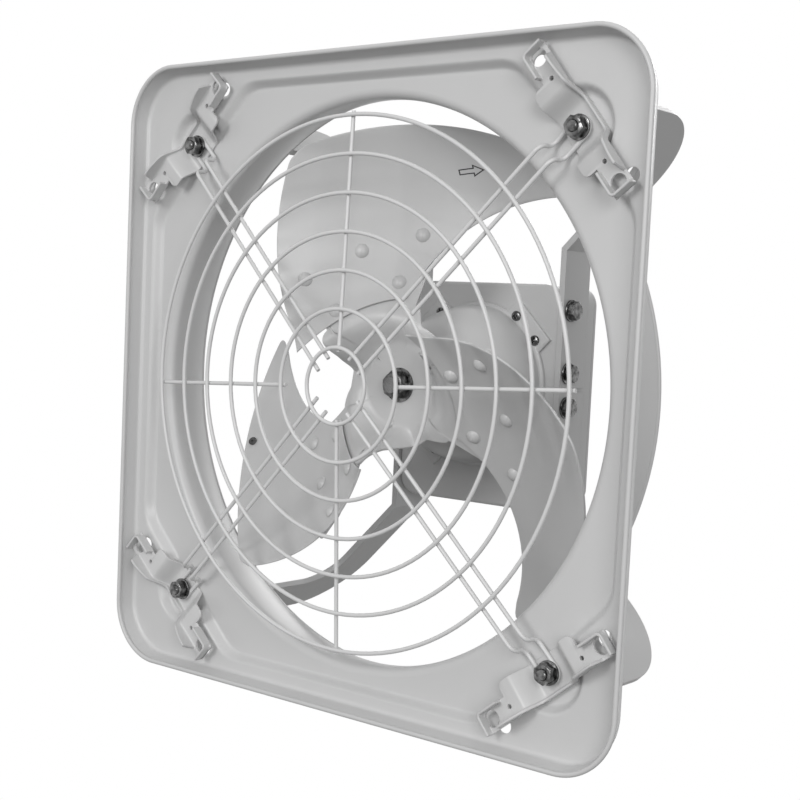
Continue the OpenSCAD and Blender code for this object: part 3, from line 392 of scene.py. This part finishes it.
fixing = {"stud": 251.3, "studR": 4, "studTip": -9.1, "nutBack": -0.8, "nutH": 6.5, "flats": 13,
          "footBack": 12, "headH": 5.3, "washerR": 8.5, "washerT": 1.6, "hole": 4.3, "pitch": 1.25,
          "stayX": 75.5, "stayT": 5, "boltY": 155.5, "boltHeights": (-61.7, -13.3, 13.3, 61.7), "boltLen": 12,
          "hubFront": 48.4, "hubNutH": 8, "hubFlats": 18, "hubStudR": 6, "hubTurn": 0.2,
          "nutTurns": (0.35, 0.1, 0.7, 0.5), "headTurn": 0.4, "cornerThread": 9.2, "stayThread": 8}


def place(rows, origin, axis):  # rows hold (radius, height along axis, angle)
    axis = np.array(axis, float)
    side = np.array([0, 0, 1.0]) if abs(axis[2]) < 0.9 else np.array([1.0, 0, 0])
    other = np.cross(axis, side)
    radius, height, angle = rows
    return (np.array(origin) + radius[..., None] * (np.cos(angle)[..., None] * side
            + np.sin(angle)[..., None] * other) + height[..., None] * axis)


def turnRing(count=96):  # even angles of one turn
    return np.linspace(0, 2 * np.pi, count, endpoint=False)[None, :]


def hexPatch(origin, axis, flats, height, hole, turn=0.0, ends=(True, True)):  # hexagon cut by a cone at its ends
    angle = turnRing()
    hexR = flats / 2 / np.cos((angle + turn) % (np.pi / 3) - np.pi / 6)
    top = flats / 2 * 0.97
    cone = lambda y: top + y * 1.75  # a turned chamfer cuts the hexagon's corners
    levels = np.array([0, 0.15, 0.35, 0.6, 0.9, 1.2])
    heights = [h for h in levels] if ends[0] else [0.0]
    heights += [height - h for h in levels[::-1]] if ends[1] else [height]
    grid = [(np.full(angle.shape, hole), 0.0)]
    for h in heights:
        limit = min(cone(h) if ends[0] else 99, cone(height - h) if ends[1] else 99)
        grid.append((np.minimum(hexR, limit), h))
    grid.append((np.full(angle.shape, hole), height))
    radius = np.vstack([r for r, h in grid])
    heightRows = np.array([h for r, h in grid])[:, None] + 0 * radius
    return {"grid": place((radius, heightRows, angle + 0 * radius), origin, axis),
            "closeRows": True, "closeColumns": True}


def studPatch(origin, axis, radius, length, pitch, thread):  # triangle wave along the shank
    angle = turnRing(64)
    steps = np.linspace(0, thread, int(thread / pitch * 8) + 1)
    wave = radius - 0.09 * pitch - 0.32 * pitch * np.abs((steps / pitch) % 1 * 2 - 1)
    lead = np.minimum(wave, radius - 0.9 + steps)  # chamfered end
    rows = np.concatenate([[0.02, radius - 1.2], lead, [radius, radius, 0.02]])
    heights = np.concatenate([[0, 0], steps, [thread + 0.3, length, length]])
    grid = (rows[:, None] + 0 * angle, heights[:, None] + 0 * angle, angle + 0 * rows[:, None])
    return {"grid": place(grid, origin, axis), "closeColumns": True, "caps": (0, -1)}


def washerPatch(origin, axis, outer, hole, thick):  # flat ring with soft rims
    angle = turnRing()
    r = np.array([hole, outer - 0.4, outer - 0.1, outer, outer, outer - 0.1, outer - 0.4, hole])[:, None]
    h = np.array([0, 0, 0.1, 0.35, thick - 0.35, thick - 0.1, thick, thick])[:, None]
    return {"grid": place((r + 0 * angle, h + 0 * angle, angle + 0 * r), origin, axis),
            "closeRows": True, "closeColumns": True}


def cornerSpots(p):  # bolt places on the two diagonals
    at = p["stud"] / math.sqrt(2)
    return [(at, at), (at, -at), (-at, -at), (-at, at)]


def buildFixings(p):
    bolts, nuts, washers = [], [], []
    for (x, z), turn in zip(cornerSpots(p), p["nutTurns"]):
        front = (0, 1, 0)
        length = p["footBack"] - p["studTip"]
        bolts.append(studPatch((x, p["studTip"], z), front, p["studR"], length, p["pitch"], p["cornerThread"]))
        bolts.append(hexPatch((x, p["footBack"], z), front, p["flats"], p["headH"], 0.05, turn, (False, True)))
        nutFront = (x, p["nutBack"] - p["nutH"], z)
        nuts.append(hexPatch(nutFront, front, p["flats"], p["nutH"], p["hole"] - 0.2, turn))
        washers.append(washerPatch((x, p["nutBack"], z), front, p["washerR"], p["hole"], p["washerT"]))
    buildPiece("cornerBolts", bolts, "fan_frame", "dark_zinc", ["corner_bolts"], 30)
    buildPiece("cornerNuts", nuts, "fan_frame", "dark_zinc", ["corner_nuts"], 30)
    buildPiece("cornerWashers", washers, "fan_frame", "dark_zinc", ["corner_washers"], 30)
    bolts, washers = [], []
    for side in (-1, 1):
        for number, z in enumerate(p["boltHeights"]):
            out = (side, 0, 0)
            face = side * (p["stayX"] + p["stayT"])
            base = (face + side * p["washerT"], p["boltY"], z)
            washers.append(washerPatch((face, p["boltY"], z), out, p["washerR"], p["hole"], p["washerT"]))
            turn = p["headTurn"] * number
            bolts.append(hexPatch(base, out, p["flats"], p["headH"], 0.05, turn, (False, True)))
            inner = (side * (p["stayX"] - p["boltLen"]), p["boltY"], z)
            length = p["boltLen"] + p["stayT"] + p["washerT"]
            bolts.append(studPatch(inner, out, p["studR"], length, p["pitch"], p["stayThread"]))
    buildPiece("stayBolts", bolts, "fan_frame", "dark_zinc", ["stay_bolts"], 30)
    buildPiece("stayWashers", washers, "fan_frame", "dark_zinc", ["stay_washers"], 30)
    front = (0, 1, 0)
    nutFront, bore = (0, p["hubFront"] - p["hubNutH"], 0), p["hubStudR"] + 0.05
    nut = [hexPatch(nutFront, front, p["hubFlats"], p["hubNutH"], bore, p["hubTurn"])]
    buildPiece("hubNut", nut, "rotor", "dark_zinc", ["hub_nut"], 30)


buildFixings(fixing)
print("stage: fixings")


bracket = {"half": 59, "mid": 35, "lobe": 5, "inner": -12, "outer": 15, "hookIn": -2, "hookFrom": 39,
           "padHalf": 11.5, "bendRun": 14, "padY": 3.8, "wingY": -8.5, "sheet": 2, "edge": 0.7,
           "wall": 10, "wallPad": 3.5, "wallEnd": 49, "wallEase": 5, "hookHeight": 6, "hookBend": 3,
           "stud": 251.3, "bore": 4.25, "notch": (52, 6, 6), "pilot": (34.4, 5.7, 1.6),
           "turnRight": 6.3, "turnLeft": -2.6,
           "names": ("upper_right", "lower_right", "lower_left", "upper_left")}


def strapStations(p):  # places along the strip, doubled where its width jumps
    lobe = p["mid"] - p["lobe"] * (1 - np.sin(np.radians(np.linspace(0, 90, 10))))
    side = np.concatenate([np.linspace(0, 10, 6), np.linspace(11, 27, 25), [28, 29], lobe, [p["mid"]],
                           np.linspace(36, p["half"] - 0.6, 12), p["half"] - np.array([0.3, 0.1, 0])])
    reach = np.clip(side - (p["mid"] - p["lobe"]), 0, p["lobe"])
    inner = p["inner"] + p["lobe"] - np.sqrt(p["lobe"] ** 2 - reach ** 2)
    first = np.searchsorted(side, p["mid"], side="left") + 1
    inner[first:] = p["hookIn"]
    return np.concatenate([-side[:0:-1], side]), np.concatenate([inner[:0:-1], inner])


def strapPatch(p):  # a strip with an S-shaped bend each side of the pad and a wall on its outer edge
    t, inner = strapStations(p)
    bend = np.clip((np.abs(t) - p["padHalf"]) / p["bendRun"], 0, 1)
    front = p["padY"] + (p["wingY"] - p["padY"]) * (1 - np.cos(np.pi * bend)) / 2
    slope = (p["wingY"] - p["padY"]) * np.pi / 2 * np.sin(np.pi * bend) / p["bendRun"]
    back = front + p["sheet"] * np.sqrt(1 + slope ** 2)
    rise = smoothStep((np.abs(t) - p["padHalf"]) / (p["half"] - p["padHalf"]) * 1.6)
    wall = p["wallPad"] + (p["wall"] - p["wallPad"]) * rise
    wall = wall * smoothStep((p["wallEnd"] - np.abs(t)) / p["wallEase"])
    fillet, top = np.minimum(1.5, wall / 2), np.minimum(0.5, wall / 4)
    e, w, out = p["edge"], p["sheet"], p["outer"]
    loop = [(inner, (front + back) / 2), (inner + 0.1, front + 0.35), (inner + e, front)]
    loop += [(out - w - fillet + fillet * np.sin(a), front - fillet + fillet * np.cos(a)) for a in arcRow(0, 90, 5)]
    loop += [(out - w, front - wall + top), (out - w + top, front - wall), (out - top, front - wall)]
    loop += [(out, front - wall + top)]
    loop += [(out - 1.8 + 1.8 * np.cos(a), back - 1.8 + 1.8 * np.sin(a)) for a in arcRow(0, 90, 5)]
    loop += [(inner + e, back), (inner + 0.1, back - 0.35)]
    rows = [np.stack(np.broadcast_arrays(t, y, d), -1) for d, y in loop]
    return {"grid": np.array(rows).transpose(1, 0, 2), "closeColumns": True, "caps": (0, -1)}


def hookPatch(side, p):  # turned-up wall that runs along the inner edge and round the end
    w, b = p["sheet"], p["hookBend"]
    a = arcRow(0, 90, 8)
    middle = np.concatenate([
        np.stack([np.linspace(p["hookFrom"], p["half"] - w / 2 - b, 6), np.full(6, p["hookIn"] + w / 2)], -1),
        np.stack([p["half"] - w / 2 - b + b * np.sin(a), p["hookIn"] + w / 2 + b - b * np.cos(a)], -1)[1:],
        np.stack([np.full(5, p["half"] - w / 2), np.linspace(p["hookIn"] + w / 2 + b + 1, p["outer"], 5)], -1)])
    ahead = np.gradient(middle, axis=0)
    ahead /= np.linalg.norm(ahead, axis=1, keepdims=True)
    out = np.stack([ahead[:, 1], -ahead[:, 0]], -1)
    top, foot = p["wingY"] - p["hookHeight"], p["wingY"] + w
    section = [(-1, foot), (-1, top + 0.5), (-0.55, top), (0.55, top), (1, top + 0.5), (1, foot)]
    rows = []
    for share, y in section:
        path = middle + out * share * w / 2
        rows.append(np.stack([side * path[:, 0], np.full(len(path), y), path[:, 1]], -1))
    return {"grid": np.array(rows).transpose(1, 0, 2), "closeColumns": True, "caps": (0, -1)}


def buildBrackets(p):
    strap = buildPiece("strap", [strapPatch(p)], "fan_frame", "bracket_paint")
    drills = [drillPatch(0, 0, p["bore"], -30, 30)]
    drills += [drillPatch(s * x, z, r, -30, 30) for x, z, r in (p["notch"], p["pilot"]) for s in (-1, 1)]
    cutAway(strap, drills)
    mesh = strap.data
    points = np.empty(len(mesh.vertices) * 3, np.float32)
    mesh.vertices.foreach_get("co", points)
    sheet = points.reshape(-1, 3) * 1000.0
    for number, name in enumerate(p["names"]):
        turn = math.radians(p["turnRight"] if number < 2 else p["turnLeft"])
        corner = math.radians(45 + 90 * number)

        def seat(q):  # turn about the bolt, then about the fan's axis
            x = q[..., 0] * math.cos(turn) + q[..., 2] * math.sin(turn)
            z = p["stud"] - q[..., 0] * math.sin(turn) + q[..., 2] * math.cos(turn)
            return np.stack([x * math.cos(corner) + z * math.sin(corner), q[..., 1],
                             z * math.cos(corner) - x * math.sin(corner)], -1)

        hooks = [hookPatch(side, p) for side in (-1, 1)]
        piece = buildPiece(f"hookBracket{number + 1}", [{**h, "grid": seat(h["grid"])} for h in hooks],
                           "fan_frame", "bracket_paint", [f"hook_bracket_{name}"])
        copy = mesh.copy()
        copy.vertices.foreach_set("co", (seat(sheet) * 0.001).astype(np.float32).ravel())
        work = bmesh.new()
        work.from_mesh(piece.data)
        work.from_mesh(copy)
        work.to_mesh(piece.data)
        work.free()
        bpy.data.meshes.remove(copy)
        piece.data.shade_smooth()
        piece.data.set_sharp_from_angle(angle=math.radians(38))
    bpy.data.objects.remove(strap)


buildBrackets(bracket)
print("stage: hook brackets")


motor = {"faceY": 148, "noseY": 85, "flangeT": 3, "baseR": 63, "noseR": 25, "boreR": 8, "flangeR": 66,
         "lugAt": 76, "lugHalf": 22, "width": 151, "up": 81.5, "down": 96.5,
         "length": 50, "corner": 16, "edge": 3}


def domePatch(p):  # quarter ellipse from base to nose, turned round the axis
    angle = turnRing(192)
    base, tip = p["baseR"], p["noseR"]
    y0, y1 = p["faceY"] - p["flangeT"], p["noseY"]
    swing = arcRow(0, 86, 40)
    outer = [(tip + (base - tip) * np.cos(a), y0 + (y1 - y0) * np.sin(a)) for a in swing]
    fillet = [(base + 3 - 3 * np.sin(a), y0 - 3 + 3 * np.cos(a)) for a in arcRow(10, 80, 7)]
    lip = [(tip - 1.5, y1), (p["boreR"] + 0.6, y1), (p["boreR"], y1 + 0.6), (p["boreR"], y1 + 7)]
    inner = [(p["boreR"] + 12, y1 + 9), (tip, y1 + 12), (base - 6, y0 - 6), (base - 4, y0), (base + 2.5, y0)]
    profile = np.array(fillet + outer + lip + inner)
    grid = (profile[:, :1] + 0 * angle, profile[:, 1:] + 0 * angle, angle + 0 * profile[:, :1])
    return {"grid": place(grid, (0, 0, 0), (0, 1, 0)), "closeRows": True, "closeColumns": True}


def flangePatch(p):  # greater of a disc and four square lugs, blended
    angle = np.linspace(0, 360, 720, endpoint=False)
    off = np.radians((angle - 45 + 45) % 90 - 45)
    lug = smoothMin(p["lugAt"] / np.cos(off), p["lugHalf"] / np.maximum(np.abs(np.sin(off)), 0.05), 1.5)
    outline = -smoothMin(-lug, -np.full(off.shape, float(p["flangeR"])), 2.5)
    front, back = p["faceY"] - p["flangeT"], p["faceY"]
    rows = [polarPoints(np.full(off.shape, p["baseR"] - 4.0), angle, front)]
    for a in arcRow(0, 90, 5):
        rows.append(polarPoints(outline - 1 + np.sin(a), angle, front + 1 - np.cos(a)))
    rows.append(polarPoints(outline, angle, back))
    rows.append(polarPoints(np.full(off.shape, p["baseR"] - 4.0), angle, back))
    return {"grid": np.array(rows), "closeRows": True, "closeColumns": True}


def shellPatch(p):  # rounded rectangle carried along the depth, with a rounded front edge
    centres = [(1, 1, 0), (-1, 1, 90), (-1, -1, 180), (1, -1, 270)]
    c, e = p["corner"], p["edge"]
    x0 = p["width"] / 2 - c
    rows = []
    y0, y1 = p["faceY"], p["faceY"] + p["length"]
    steps = [(e * (1 - np.sin(a)), y0 + e * (1 - np.cos(a))) for a in arcRow(0, 90, 6)]
    steps = [(c - 1, y0)] + steps + [(0.0, y1 - 0.4), (0.4, y1), (c - 1, y1)]
    for inset, y in steps:
        ring = []
        for sx, sz, start in centres:
            a = arcRow(start, start + 90, 10)
            top = p["up"] - c if sz > 0 else p["down"] - c
            ring.append(np.stack([sx * x0 + (c - inset) * np.cos(a), np.full(a.shape, y),
                                  sz * top + (c - inset) * np.sin(a)], -1))
        rows.append(np.vstack(ring))
    return {"grid": np.array(rows), "closeColumns": True, "caps": (0, -1)}


screw = {"reach": 66, "apart": 13, "flangeY": 145, "headR": 4, "headH": 2.4, "crown": 0.9, "shankR": 2,
         "shankLen": 6, "armHalf": 0.65, "armEnd": 2.3, "recess": 1.3, "turnStep": 0.45}


def screwPatch(origin, turn, p):  # crowned head, lower inside a cross of two crossing bars
    angle = turnRing(72)
    r = np.concatenate([np.linspace(0.02, 2.6, 16), np.linspace(2.8, p["headR"] - 0.3, 6)])[:, None]
    x, z = np.abs(r * np.cos(angle + turn)), np.abs(r * np.sin(angle + turn))
    bar = lambda a, b: smoothStep((p["armHalf"] - a) / 0.3 + 0.5) * smoothStep((p["armEnd"] - b) / 0.4 + 0.5)
    top = p["headH"] - p["crown"] * (r / p["headR"]) ** 2 - p["recess"] * np.maximum(bar(x, z), bar(z, x))
    edge = np.array([[p["headR"], p["headH"] - p["crown"] - 0.3], [p["headR"], 0], [p["shankR"], 0],
                     [p["shankR"], -p["shankLen"]]])
    radius = np.vstack([r + 0 * angle, edge[:, :1] + 0 * angle])
    height = np.vstack([top, edge[:, 1:] + 0 * angle])
    grid = place((radius, height, angle + 0 * radius), origin, (0, -1, 0))
    return {"grid": grid, "closeColumns": True, "caps": (0, -1)}


def buildScrews(p):  # two screws on each lug
    patches = []
    for number in range(8):
        corner = math.radians(45 + 90 * (number // 2))
        side = p["apart"] * (1 if number % 2 else -1)
        x = side * math.cos(corner) + p["reach"] * math.sin(corner)
        z = p["reach"] * math.cos(corner) - side * math.sin(corner)
        patches.append(screwPatch((x, p["flangeY"], z), p["turnStep"] * number, p))
    buildPiece("coverScrews", patches, "fan_frame", "dark_zinc", ["front_cover_screws"], 40)


buildScrews(screw)
buildPiece("motorFrontCover", [domePatch(motor), flangePatch(motor)], "fan_frame", "motor_paint",
           ["motor_front_cover"], 40)
buildPiece("motorBody", [shellPatch(motor)], "fan_frame", "motor_paint", ["motor_body"], 40)
print("stage: motor")


arrow = {"radius": 165.4, "angle": 78.1, "length": 18, "tail": 4.2, "head": 9, "headLength": 8,
         "line": 0.8, "lift": 0.15, "sunk": 0.2, "tilt": 20, "edgeSteps": 14}


def arrowPatch(p, q):  # outline of an arrow laid on the blade surface
    tail, head, tip = p["tail"] / 2, p["head"] / 2, p["length"] / 2
    neck = tip - p["headLength"]
    w = p["line"]
    slope = head / p["headLength"]
    lean = w * math.hypot(1, slope)
    outer = np.array([(-tip, tail), (neck, tail), (neck, head), (tip, 0), (neck, -head), (neck, -tail),
                      (-tip, -tail)])
    inTip, inNeck = tip - lean / slope, neck + w
    inHead = (inTip - inNeck) * slope
    inner = np.array([(-tip + w, tail - w), (inNeck, tail - w), (inNeck, inHead), (inTip, 0), (inNeck, -inHead),
                      (inNeck, w - tail), (-tip + w, w - tail)])
    share = np.linspace(0, 1, p["edgeSteps"], endpoint=False)[None, :, None]
    walk = [(loop[:, None] + share * (np.roll(loop, -1, 0) - loop)[:, None]).reshape(-1, 2)
            for loop in (outer, inner)]
    tilt = math.radians(p["tilt"])
    turned = np.array([[math.cos(tilt), math.sin(tilt)], [-math.sin(tilt), math.cos(tilt)]])
    walk = [loop @ turned for loop in walk]

    def lay(path, lift):
        r = p["radius"] + path[:, 1]
        a = p["angle"] - np.degrees(path[:, 0] / p["radius"])
        v = (bladeMid(r, q) + bladeHalf(r, q) - a) / (2 * bladeHalf(r, q))
        y = bladeY(r, v, q) - q["thick"] / 2 / math.cos(math.radians(q["pitch"])) - lift
        return polarPoints(r, a, y)

    rows = [lay(walk[0], p["lift"]), lay(walk[1], p["lift"]), lay(walk[1], -p["sunk"]), lay(walk[0], -p["sunk"])]
    return {"grid": np.array(rows), "closeRows": True, "closeColumns": True}


buildPiece("turnArrow", [arrowPatch(arrow, prop)], "rotor", "gland_plastic")
print("stage: arrow")


shot = {"place": (0.683655, -0.790969, 0.055441), "right": (0.778032, 0.626456, 0.047107),
        "down": (0.090005, -0.036943, -0.995256), "ahead": (-0.621744, 0.77858, -0.085127),
        "lens": 64.827, "shift": (-0.01264, 0.0433)}


def setCamera(p):  # turn and place found from the photograph
    data = bpy.data.cameras.new("camera")
    data.lens = p["lens"]
    data.sensor_width = 36
    data.shift_x, data.shift_y = p["shift"]
    data.clip_start, data.clip_end = 0.01, 50
    camera = bpy.data.objects.new("camera", data)
    turn = np.column_stack([p["right"], -np.array(p["down"]), -np.array(p["ahead"])])
    camera.matrix_world = Matrix.Translation(p["place"]) @ Matrix(turn.tolist()).to_4x4()
    bpy.context.scene.collection.objects.link(camera)
    bpy.context.scene.camera = camera


lamps = {
    "key": {"place": (-0.1, -2.8, 0.9), "size": 1.0, "power": 31},
    "side": {"place": (2.0, -1.8, 0.6), "size": 1.2, "power": 27},
    "back": {"place": (-0.9, 2.7, 1.2), "size": 1.6, "power": 24},
}


def addLamp(name, p):
    data = bpy.data.lights.new(name, "AREA")
    data.size = p["size"]
    data.energy = p["power"]
    lamp = bpy.data.objects.new(name, data)
    back = Matrix.Translation(p["place"]).to_translation()
    lamp.location = back
    lamp.rotation_mode = "QUATERNION"
    lamp.rotation_quaternion = (-back).to_track_quat("-Z", "Y")
    bpy.context.scene.collection.objects.link(lamp)


studio = {"low": 0.03, "high": 0.5}


def setWorld(p):
    world = bpy.data.worlds.new("studio")
    bpy.context.scene.world = world
    world.use_nodes = True
    tree = world.node_tree
    place = addNode(tree, "ShaderNodeTexCoord")
    split = addNode(tree, "ShaderNodeSeparateXYZ")
    tree.links.new(place.outputs["Generated"], split.inputs["Vector"])
    soft = addNode(tree, "ShaderNodeMapRange")  # light grows from below to above
    soft.inputs["From Min"].default_value = -1
    soft.inputs["To Min"].default_value = p["low"]
    soft.inputs["To Max"].default_value = p["high"]
    tree.links.new(split.outputs["Z"], soft.inputs["Value"])
    path = addNode(tree, "ShaderNodeLightPath")
    seen = addNode(tree, "ShaderNodeMath", operation="MAXIMUM")
    tree.links.new(path.outputs["Is Camera Ray"], seen.inputs[0])
    tree.links.new(path.outputs["Is Transmission Ray"], seen.inputs[1])
    shown = addNode(tree, "ShaderNodeMath", operation="MAXIMUM")
    tree.links.new(seen.outputs["Value"], shown.inputs[0])
    tree.links.new(path.outputs["Is Glossy Ray"], shown.inputs[1])
    pick = addNode(tree, "ShaderNodeMix")
    tree.links.new(shown.outputs["Value"], pick.inputs["Factor"])
    tree.links.new(soft.outputs["Result"], pick.inputs["A"])
    pick.inputs["B"].default_value = 1
    sky = tree.nodes["Background"]
    sky.inputs["Color"].default_value = (1, 1, 1, 1)
    tree.links.new(pick.outputs["Result"], sky.inputs["Strength"])


floorLook = {"height": -1.2, "radius": 2.5, "base": (0.85, 0.85, 0.84), "roughness": 0.8, "steps": 96}


def addFloor(p):
    turn = np.linspace(0, 360, p["steps"], endpoint=False)
    rows = [polarPoints(r, turn, p["height"]) for r in (0.01, p["radius"])]
    grid = np.array(rows)[..., [0, 2, 1]]
    mesh = bpy.data.meshes.new("floor")
    mesh.from_pydata(grid.reshape(-1, 3).tolist(), [], gridFaces(2, p["steps"], False, True, 0))
    floor = bpy.data.objects.new("floor", mesh)
    bpy.context.scene.collection.objects.link(floor)
    material = bpy.data.materials.new("pale_floor")
    material.use_nodes = True
    tree = material.node_tree
    shader = tree.nodes["Principled BSDF"]
    shader.inputs["Base Color"].default_value = (*p["base"], 1)
    shader.inputs["Roughness"].default_value = p["roughness"]
    mesh.materials.append(material)
    floor.visible_diffuse = False


setCamera(shot)
for name, settings in lamps.items():
    addLamp(name, settings)
setWorld(studio)
addFloor(floorLook)
bpy.context.scene.view_settings.view_transform = "Standard"
print("stage: camera and light")
